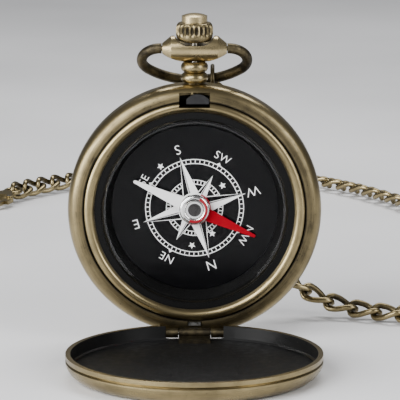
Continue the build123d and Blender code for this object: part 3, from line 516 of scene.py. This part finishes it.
def jewel_material(groups, colours, stone_r):
    """Dark stone of a radius in a bright setting."""
    material, graph, shader, place = new_material("jewel_dark")
    turned = use_group(graph, groups["turned"], Vector=about_dial_axis(graph, place))
    setting = graph.ramp(turned.outputs["Radius"], stone_r, stone_r + 0.08 * MM)
    grain = use_group(graph, groups["grain"], Vector=place, Scale=1200.0)
    graph.put(shader.inputs["Base Color"], graph.mix(setting, tuple(colours.jewel), tuple(colours.chrome)))
    graph.put(shader.inputs["Roughness"], graph.ramp(grain.outputs["Grain"], 0.3, 0.7, 0.12, 0.2))
    graph.put(shader.inputs["Metallic"], setting)
    return material


def make_finishes(sizes, colours):
    """Every material by name."""
    groups = {
        "turned": turned_coordinates_group(),
        "brass": aged_brass_group(),
        "grain": fine_grain_group(),
    }
    neck_low, neck_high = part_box("pendant_neck")
    pendant = (0.5 * (neck_low[0] + neck_high[0]), 0.5 * (neck_low[1] + neck_high[1]))
    bezel_r = half_width("bezel")
    lacquer_r = half_width("lid_lining") + 0.37 * MM
    lacquer_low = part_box("lid_lining")[0][2]
    glass_flat_r = half_width("crystal") - 0.8 * MM
    cap_r = half_width("needle_cap")
    enamel_r = 0.77 * cap_r
    enamel_width = 0.2 * cap_r
    stone_r = 0.42 * cap_r
    # Radius, width and amount of the dark rings on the case: patina in the groove at the bezel's edge, a
    # painted reflection of the dark surroundings as a broad band on the outer ring's inner slope, and a thin
    # dark line 2 mm further in
    case_patina_and_reflection_rings = (
        (bezel_r, 0.35 * MM, 0.6),
        # Painted reflection: this broad dark band stands in for the dark surroundings mirrored by the ring's
        # slope
        (bezel_r + 0.9 * MM, 1.4 * MM, 0.5),
        (bezel_r - 2.0 * MM, 0.3 * MM, 0.5),
    )

    def grained(name, *values, **settings):
        return grained_material(name, groups, *values, **settings)

    return {
        "case_brass": brass_material("case_brass", groups, colours, "dial", case_patina_and_reflection_rings),
        "lid_brass": brass_material(
            "lid_brass", groups, colours, (0.0, 0.0), inside=(lacquer_r, lacquer_low)
        ),
        "hinge_brass": brass_material("hinge_brass", groups, colours, None, patina=0.85),
        "pendant_brass": brass_material("pendant_brass", groups, colours, pendant),
        # Lighter, painted-lit copy of the brass for the pendant's top pieces: a painted highlight
        "painted_lit_brass": brass_material("painted_lit_brass", groups, colours, None, light=colours.brass_painted_lit),
        "crown_brass": brass_material("crown_brass", groups, colours, pendant, patina=0.3, hollows=0.7),
        "plain_brass": brass_material("plain_brass", groups, colours, None),
        "bow_brass": brass_material("bow_brass", groups, colours, None, patina=0.7),
        "link_brass": brass_material("link_brass", groups, colours, None, hollows=0.55),
        "crystal_glass": crystal_material(groups, glass_flat_r),
        "capsule_black": grained("capsule_black", colours.capsule, 0.3, 9000.0, specular=0.08),
        "dial_lacquer": grained("dial_lacquer", colours.dial, 0.16, 12000.0, specular=0.14),
        "print_ink": grained("print_ink", colours.ink, 0.55, 4000.0),
        "needle_enamel": needle_material(groups, colours, sizes.needle_angle),
        "cap_chrome": cap_material(groups, colours, sizes.needle_angle, enamel_r, enamel_width),
        "jewel_dark": jewel_material(groups, colours, stone_r),
        "strip_steel": grained("strip_steel", colours.steel, 0.3, 1400.0, 1.0, 0.01 * MM),
        "latch_steel": grained("latch_steel", colours.latch, 0.35, 1400.0, 1.0, 0.01 * MM),
        "lid_lacquer": grained("lid_lacquer", colours.lining, 0.5, 700.0, 0.0, 0.01 * MM, specular=0.1),
        "floor_pale": grained("floor_pale", colours.floor, 0.5, 6.0),
    }


def finish(name):
    return bpy.data.materials[name]


def new_piece(name, points, faces, material, body):
    """Mesh object from arrays, riding on a body."""
    mesh = bpy.data.meshes.new(name)
    mesh.from_pydata(np.asarray(points, float).tolist(), [], [list(map(int, face)) for face in faces])
    mesh.validate()
    piece = bpy.data.objects.new(name, mesh)
    bpy.context.scene.collection.objects.link(piece)
    mesh.materials.append(finish(material))
    if body:
        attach(piece, body)
    return piece


def curve_mesh(curve):
    """Points and faces of a text or a curve, which is then deleted."""
    holder = bpy.data.objects.new(curve.name, curve)
    bpy.context.scene.collection.objects.link(holder)
    bpy.context.view_layer.update()
    evaluated = holder.evaluated_get(bpy.context.evaluated_depsgraph_get())
    mesh = bpy.data.meshes.new_from_object(evaluated)
    points = np.array([vertex.co[:] for vertex in mesh.vertices])
    faces = [list(face.vertices) for face in mesh.polygons]
    bpy.data.objects.remove(holder)
    bpy.data.curves.remove(curve)
    bpy.data.meshes.remove(mesh)
    return points, faces


def closed_grid(rows, columns):
    """Four-sided faces of a grid of points that closes on itself both ways."""
    i, j = np.meshgrid(np.arange(rows), np.arange(columns), indexing="ij")
    after_i = (i + 1) % rows
    after_j = (j + 1) % columns
    corners = [i * columns + j, i * columns + after_j, after_i * columns + after_j, after_i * columns + j]
    return np.stack(corners, axis=-1).reshape(-1, 4)


def polar(radius, angle):
    """Points at a radius and an angle, in the plane of the dial."""
    return np.stack([radius * np.cos(angle), radius * np.sin(angle)], axis=-1)


def on_dial(flat, lift):
    """Points of the dial's plane, right and up, put a lift in front of the dial."""
    flat = np.asarray(flat, float)
    depth = np.full(len(flat), DIAL_CENTRE[1] - lift)
    return np.stack([DIAL_CENTRE[0] + flat[:, 0], depth, DIAL_CENTRE[2] + flat[:, 1]], axis=-1)


class Print:
    """Flat shapes that are collected for one mesh of ink."""

    def __init__(self):
        self.points = []
        self.faces = []
        self.count = 0

    def add(self, points, faces):
        self.points.append(np.asarray(points, float))
        self.faces += [[index + self.count for index in face] for face in faces]
        self.count += len(points)

    def polygon(self, points):
        self.add(points, [range(len(points))])

    def ring(self, outer, width, steps=192):
        """Flat ring: two circles of points joined by four-sided faces."""
        angles = np.linspace(0, 2 * math.pi, steps, endpoint=False)
        points = np.concatenate([polar(outer - width, angles), polar(outer, angles)])
        here = np.arange(steps)
        after = (here + 1) % steps
        self.add(points, np.stack([here, here + steps, after + steps, after], axis=-1).tolist())

    def ticks(self, outer, width, count, thick, turn):
        """Short radial bars at equal angles, each of four points."""
        angles = turn + np.arange(count) * 2 * math.pi / count
        ray = polar(1.0, angles)
        side = np.stack([-ray[:, 1], ray[:, 0]], axis=-1) * thick / 2
        inner = outer - width
        corners = [ray * inner - side, ray * outer - side, ray * outer + side, ray * inner + side]
        corners = np.stack(corners, axis=1)
        self.add(corners.reshape(-1, 2), np.arange(4 * count).reshape(count, 4).tolist())

    def object(self, name, lift, material):
        points = on_dial(np.concatenate(self.points), lift)
        new_piece(name, points, self.faces, material, "case")


def rose_point(tip_r, angle, waist_r, waist_turn):
    """Corners of one point of the rose: its tip, its clockwise waist, its other waist."""
    tip = polar(tip_r, angle)
    clockwise = polar(waist_r, angle - waist_turn)
    other = polar(waist_r, angle + waist_turn)
    return tip, clockwise, other


def star_outline(centre, radius, turn):
    """Ten corners of a five-pointed star."""
    angles = turn + np.arange(10) * math.pi / 5
    reach = np.where(np.arange(10) % 2 == 0, radius, radius * 0.45)
    return polar(reach, angles) + centre


def letters(text, height, centre, turn):
    """Points and faces of a word on the dial: its middle at centre, turned anticlockwise by turn."""
    curve = bpy.data.curves.new("letters", "FONT")
    curve.body = text
    curve.align_x = "CENTER"
    curve.size = 1.0
    curve.space_character = 1.08
    # A negative offset makes the strokes thinner than the font's own
    curve.offset = -0.012
    curve.resolution_u = 5
    points, faces = curve_mesh(curve)
    points = points[:, :2]
    low = points.min(axis=0)
    high = points.max(axis=0)
    points = (points - 0.5 * (low + high)) * height / (high[1] - low[1])
    cos = math.cos(turn)
    sin = math.sin(turn)
    spun = points @ np.array([[cos, sin], [-sin, cos]])
    return spun + centre, faces


class COMPASS_OT_finishes(bpy.types.Operator):
    """Make every finish and put it on the CAD pieces"""

    bl_idname = "compass.finishes"
    bl_label = "Finishes"

    def execute(self, context):
        scene = context.scene
        materials = make_finishes(scene.compass_sizes, scene.compass_colours)
        for name, nodes in FINISHES.items():
            for node in nodes:
                NODES[node].material_slots[0].material = materials[name]
        return {"FINISHED"}


class COMPASS_OT_rose(bpy.types.Operator):
    """Print the rose, its rings and its letters on the dial"""

    bl_idname = "compass.rose"
    bl_label = "Printed rose"

    def execute(self, context):
        sizes = context.scene.compass_sizes
        south = sizes.south_angle
        quarter = math.pi / 2
        lift = sizes.print_lift
        line = sizes.track_line
        edge_line = 0.17 * MM
        mark_height = 0.55 * MM
        mark_overlap = 0.05 * MM
        mark_half_angle = 0.05
        pair_inset = 0.5 * MM
        tracks = Print()
        for outer, count in ((sizes.outer_track, sizes.outer_ticks), (sizes.inner_track, sizes.inner_ticks)):
            tracks.ring(outer, line)
            tracks.ring(outer - sizes.track_width + line, line)
            tracks.ticks(outer, sizes.track_width, count, 0.9 * line, south)
        tracks.object("rose_tracks", lift, "print_ink")

        ground = Print()
        white = Print()
        # Reach, first direction, distance of the two waists and half the angle between them
        kinds = (
            (sizes.lesser_point, south + quarter / 2, 2.9 * MM, math.radians(19)),
            (sizes.main_point, south, 3.1 * MM, math.radians(28)),
        )
        for tip_r, first, waist_r, waist_turn in kinds:
            for i in range(4):
                angle = first + i * quarter
                tip, clockwise, other = rose_point(tip_r, angle, waist_r, waist_turn)
                middle = np.zeros(2)
                ground.polygon([middle, clockwise, tip, other])
                white.polygon([middle, clockwise, tip])
                inward = (clockwise - other) / np.linalg.norm(clockwise - other) * edge_line
                white.polygon([other + inward, tip, other])
                centre_line = polar(waist_r * 0.6, angle) - 1.3 * inward
                white.polygon([centre_line, tip, centre_line - 0.8 * inward])
        for i in range(4):
            angle = south + quarter / 2 + i * quarter
            base = sizes.outer_track - mark_overlap
            left = polar(base, angle - mark_half_angle)
            right = polar(base, angle + mark_half_angle)
            white.polygon([left, polar(base + mark_height, angle), right])
        # Degrees anticlockwise from south and millimetres from the centre
        star_places = ((23, 9.9), (-67, 6.6), (-162, 5.8), (160, 7.05))
        for turn, radius in star_places:
            angle = south + math.radians(turn)
            white.polygon(star_outline(polar(radius * MM, angle), sizes.star_radius, angle))
        for i, word in enumerate(("S", "SW", "W", "NW", "N", "NE", "E", "SE")):
            angle = south - i * quarter / 2
            main = len(word) == 1
            height = sizes.main_letter if main else sizes.lesser_letter
            radius = sizes.letter_radius if main else sizes.letter_radius - pair_inset
            turn = south + quarter if main else angle - quarter
            white.add(*letters(word, height, polar(radius, angle), turn))
        ground.object("rose_ground", 1.6 * lift, "dial_lacquer")
        white.object("rose_print", 2.2 * lift, "print_ink")
        return {"FINISHED"}


def crown_surface(foot_r, side_r, top_r, height, ribs, depth, bore_r, stem_r, samples=8):
    """A fluted crown, turned about its axis with its foot at the origin.

    Its outline rises from the foot by a quarter ellipse to the side, goes straight up, turns over the
    shoulder by another quarter ellipse and comes back down the bores of the stem and the spring. Its flutes
    take depth * m * w off the radius: m = sin(pi s) ** 0.6, where s goes from 0 to 1 up the fluted stretch,
    and w = ((1 + cos(ribs t)) / 2) ** 0.7 at the angle t. The last result is m * w.
    """
    bowl_h = 0.45 * height
    shoulder_h = 0.64 * height
    bore_h = 0.54 * height
    sweep = np.linspace(0.0, math.pi / 2, 9)
    bowl = np.stack([foot_r + (side_r - foot_r) * np.sin(sweep), bowl_h * (1 - np.cos(sweep))], axis=-1)
    rise = np.stack([np.full(4, side_r), np.linspace(bowl_h, shoulder_h, 6)[1:-1]], axis=-1)
    over = (height - shoulder_h) * np.sin(sweep)
    shoulder = np.stack([top_r + (side_r - top_r) * np.cos(sweep), shoulder_h + over], axis=-1)
    bores = np.array([(stem_r, height), (stem_r, bore_h), (bore_r, bore_h), (bore_r, 0.0)])
    outline = np.concatenate([bowl, rise, shoulder, bores])
    flute_low = 0.34 * height
    flute_high = 0.92 * height
    share = np.clip((outline[:, 1] - flute_low) / (flute_high - flute_low), 0.0, 1.0)
    wave = np.sin(math.pi * share) ** 0.6
    wave[len(outline) - len(bores):] = 0.0
    around = ribs * samples
    turn = np.linspace(0.0, 2 * math.pi, around, endpoint=False)
    flute = wave[:, None] * (0.5 + 0.5 * np.cos(ribs * turn)[None]) ** 0.7
    radius = outline[:, :1] - depth * flute
    level = np.repeat(outline[:, 1:], around, axis=1)
    points = np.stack([radius * np.cos(turn), radius * np.sin(turn), level], axis=-1)
    return points.reshape(-1, 3), closed_grid(len(outline), around), flute.reshape(-1)


def mark_inner_side(piece, amount):
    """Store each point's share of inner side, which the brass darkens."""
    marks = piece.data.attributes.new("inner_side", "FLOAT", "POINT")
    marks.data.foreach_set("value", np.asarray(amount, np.float32))


class COMPASS_OT_crown(bpy.types.Operator):
    """Turn the fluted crown"""

    bl_idname = "compass.crown"
    bl_label = "Crown"

    def execute(self, context):
        sizes = context.scene.compass_sizes
        low, high = (np.array(corner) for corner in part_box("crown"))
        stem_gap = 0.03 * MM
        points, faces, flute = crown_surface(
            sizes.crown_foot, half_width("crown", 1), sizes.crown_top, high[2] - low[2], sizes.crown_ribs,
            sizes.flute_depth, sizes.crown_bore, half_width("push_stem") + stem_gap,
        )
        middle = 0.5 * (low + high)
        place = np.array([middle[0], middle[1], low[2]])
        crown = new_piece("crown_fluted", points + place, faces, "crown_brass", "crown")
        crown.data.shade_smooth()
        crown.data.set_sharp_from_angle(angle=math.radians(40.0))
        mark_inner_side(crown, flute)
        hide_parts("crown")
        return {"FINISHED"}


def route_points():
    """Points of the chain's smooth line, read from a NURBS spline over the route's control points."""
    curve = bpy.data.curves.new("chain_route", "CURVE")
    curve.dimensions = "3D"
    curve.resolution_u = 24
    spline = curve.splines.new("NURBS")
    spline.points.add(len(CHAIN_ROUTE) - 1)
    for point, place in zip(spline.points, CHAIN_ROUTE):
        point.co = (place[0] * MM, place[1] * MM, place[2] * MM, 1.0)
    spline.order_u = 3
    spline.use_endpoint_u = True
    return curve_mesh(curve)[0]


def along_route(points, reached, distances):
    """Places and directions at distances along a line of points, whose own distances are reached."""

    def at(distance):
        return np.stack([np.interp(distance, reached, points[:, axis]) for axis in range(3)], axis=-1)

    step = 1.5 * MM
    ahead = at(np.minimum(distances + step, reached[-1])) - at(np.maximum(distances - step, 0.0))
    return at(distances), ahead / np.linalg.norm(ahead, axis=1, keepdims=True)


def link_surface(length, width, wire, twist, bulge=0.14, at_end=14, at_side=5, across=10):
    """One curb link: a circle of radius wire/2 carried round a twisted oval.

    The flat oval is two half circles of radius b, (x, y) = (+-s + b cos t, b sin t), joined by sides that
    bulge: y = +-b (1 + bulge (1 - x^2 / s^2)). Its twist turns each point about X by twist * x / (2 (s + b)),
    so a quarter turn sets its two ends square to each other. The last result is 1 on the oval's inner side
    and 0 on its outer one.
    """
    bend = (width - wire) / 2
    half = (length - wire) / 2
    straight = half - bend
    arc = np.linspace(-math.pi / 2, math.pi / 2, at_end)
    along = straight * np.linspace(1, -1, at_side + 2)[1:-1]
    belly = bend * (1 + bulge * (1 - (along / straight) ** 2))
    upright = np.full(at_side, math.pi / 2)
    turn = np.concatenate([arc, upright, arc + math.pi, -upright])
    flat_x = np.concatenate([straight + bend * np.cos(arc), along, -straight - bend * np.cos(arc), -along])
    flat_y = np.concatenate([bend * np.sin(arc), belly, -bend * np.sin(arc), -belly])
    roll = twist * flat_x / (2 * half)
    centre = np.stack([flat_x, flat_y * np.cos(roll), flat_y * np.sin(roll)], axis=-1)
    tangent = np.roll(centre, -1, axis=0) - np.roll(centre, 1, axis=0)
    tangent /= np.linalg.norm(tangent, axis=1, keepdims=True)
    outward = np.stack([np.cos(turn), np.sin(turn) * np.cos(roll), np.sin(turn) * np.sin(roll)], axis=-1)
    outward -= np.sum(outward * tangent, axis=1, keepdims=True) * tangent
    outward /= np.linalg.norm(outward, axis=1, keepdims=True)
    side = np.cross(tangent, outward)
    ring = np.linspace(0, 2 * math.pi, across, endpoint=False)
    spread = ring[None, :, None]
    section = np.cos(spread) * outward[:, None, :] + np.sin(spread) * side[:, None, :]
    points = centre[:, None, :] + 0.5 * wire * section
    around = len(turn)
    inner = np.tile(0.5 - 0.5 * np.cos(ring), around)
    return points.reshape(-1, 3), closed_grid(around, across), inner


class COMPASS_OT_chain(bpy.types.Operator):
    """Lay the chain's links along its route, from the ring on the bow to the clasp"""

    bl_idname = "compass.chain"
    bl_label = "Chain"

    def execute(self, context):
        sizes = context.scene.compass_sizes
        line = route_points()
        half = 0.5 * (sizes.link_length - sizes.link_wire)
        reached = np.concatenate([[0.0], np.cumsum(np.linalg.norm(np.diff(line, axis=0), axis=1))])
        eye = np.array(CLASP_HIGH[:2]) - sizes.clasp_eye
        eye_at = reached[np.argmin(np.linalg.norm(line[:, :2] - eye, axis=1))]
        into_eye = 0.3 * MM
        first = half
        last = eye_at + sizes.clasp_eye - 2 * sizes.link_wire + into_eye - half
        count = int(round((last - first) / sizes.link_pitch)) + 1
        places, forward = along_route(line, reached, np.linspace(first, last, count))
        level = np.cross([0.0, 0.0, 1.0], forward)
        level /= np.linalg.norm(level, axis=1, keepdims=True)
        rise = np.cross(forward, level)
        order = np.arange(count)
        from_end = np.minimum(order, count - 1 - order) / sizes.turn_links
        share = np.minimum(1.0, from_end)[:, None]
        roll = share * sizes.link_lie + (1.0 - share) * 0.5 * sizes.link_twist
        side = np.cos(roll) * level + np.sin(roll) * rise
        up = np.cross(forward, side)
        link, faces, inner = link_surface(
            sizes.link_length, sizes.link_width, sizes.link_wire, sizes.link_twist
        )
        frames = np.stack([forward, side, up], axis=1)
        points = places[:, None, :] + np.einsum("pk,nkj->npj", link, frames)
        all_faces = (faces[None] + order[:, None, None] * len(link)).reshape(-1, 4)
        chain = new_piece("chain_links", points.reshape(-1, 3), all_faces, "link_brass", None)
        chain.data.shade_smooth()
        mark_inner_side(chain, np.tile(inner, count))
        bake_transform(chain)
        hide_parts("chain", "chain_drop")
        return {"FINISHED"}


class COMPASS_OT_spring(bpy.types.Operator):
    """Give the return spring a mesh of its own"""

    bl_idname = "compass.spring"
    bl_label = "Return spring"

    def execute(self, context):
        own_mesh(NODES["return_spring"])
        return {"FINISHED"}


def area_light(name, place, target, size, power):
    """Rectangular light at a place, turned to a target."""
    light = bpy.data.lights.new(name, "AREA")
    light.shape = "RECTANGLE"
    light.size, light.size_y = size
    light.energy = power
    lamp = bpy.data.objects.new(name, light)
    bpy.context.scene.collection.objects.link(lamp)
    lamp.location = place
    lamp.rotation_euler = (Vector(target) - Vector(place)).to_track_quat("-Z", "Y").to_euler()


class COMPASS_OT_stage(bpy.types.Operator):
    """Pale floor, soft lights and the camera"""

    bl_idname = "compass.stage"
    bl_label = "Stage"

    def execute(self, context):
        scene = context.scene
        reach = 4.0
        corners = [(-reach, -reach, 0), (reach, -reach, 0), (reach, reach, 0), (-reach, reach, 0)]
        mesh = bpy.data.meshes.new("floor")
        mesh.from_pydata(corners, [], [(0, 1, 2, 3)])
        floor = bpy.data.objects.new("floor", mesh)
        floor.location.z = -0.02 * MM
        mesh.materials.append(finish("floor_pale"))
        scene.collection.objects.link(floor)

        world = bpy.data.worlds.new("studio")
        scene.world = world
        world.use_nodes = True
        background = world.node_tree.nodes["Background"]
        background.inputs["Color"].default_value = (0.55, 0.56, 0.58, 1.0)
        background.inputs["Strength"].default_value = 0.28
        target = (0.0, DIAL_CENTRE[1], DIAL_CENTRE[2])
        # Name, place and size in metres, power in watts
        lights = (
            ("key", (-0.3, -0.38, 0.32), (0.4, 0.35), 4.6),
            ("fill", (0.42, -0.3, 0.25), (0.25, 0.4), 2.0),
            ("rim", (0.05, 0.3, 0.5), (0.5, 0.2), 2.6),
            ("side", (-0.45, -0.2, 0.12), (0.3, 0.2), 2.4),
        )
        for name, place, size, power in lights:
            area_light(name, place, target, size, power)

        elevation = math.radians(10.5)
        distance = 0.6
        focus_right = 1.0 * MM
        focus_up = 1.45 * MM
        focus = Vector((focus_right, DIAL_CENTRE[1], DIAL_CENTRE[2] + focus_up))
        backward = Vector((0.0, -math.cos(elevation), math.sin(elevation)))
        data = bpy.data.cameras.new("camera")
        data.sensor_width = 36.0
        data.lens = 293.8
        data.clip_start = 0.01
        camera = bpy.data.objects.new("camera", data)
        camera.location = focus + backward * distance
        camera.rotation_euler = (-backward).to_track_quat("-Z", "Y").to_euler()
        scene.collection.objects.link(camera)
        scene.camera = camera
        return {"FINISHED"}


class COMPASS_PT_panel(bpy.types.Panel):
    """Lists the steps that dress the compass"""

    bl_idname = "COMPASS_PT_panel"
    bl_label = "Pocket Compass"
    bl_space_type = "VIEW_3D"
    bl_region_type = "UI"
    bl_category = "Compass"

    def draw(self, context):
        for step in STEPS:
            self.layout.operator(step.bl_idname)
        for name in CompassSizes.__annotations__:
            self.layout.prop(context.scene.compass_sizes, name)
        for name in CompassColours.__annotations__:
            self.layout.prop(context.scene.compass_colours, name)


STEPS = (
    COMPASS_OT_finishes,
    COMPASS_OT_rose,
    COMPASS_OT_crown,
    COMPASS_OT_chain,
    COMPASS_OT_spring,
    COMPASS_OT_stage,
)
CLASSES = (CompassSizes, CompassColours) + STEPS + (COMPASS_PT_panel,)


def register():
    for cls in CLASSES:
        bpy.utils.register_class(cls)
    bpy.types.Scene.compass_sizes = PointerProperty(type=CompassSizes)
    bpy.types.Scene.compass_colours = PointerProperty(type=CompassColours)


def unregister():
    del bpy.types.Scene.compass_colours
    del bpy.types.Scene.compass_sizes
    for cls in reversed(CLASSES):
        bpy.utils.unregister_class(cls)


def main():
    register()
    bpy.ops.compass.finishes()
    bpy.ops.compass.rose()
    bpy.ops.compass.crown()
    bpy.ops.compass.chain()
    bpy.ops.compass.spring()
    bpy.ops.compass.stage()
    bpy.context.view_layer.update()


if __name__ == "__main__":
    main()
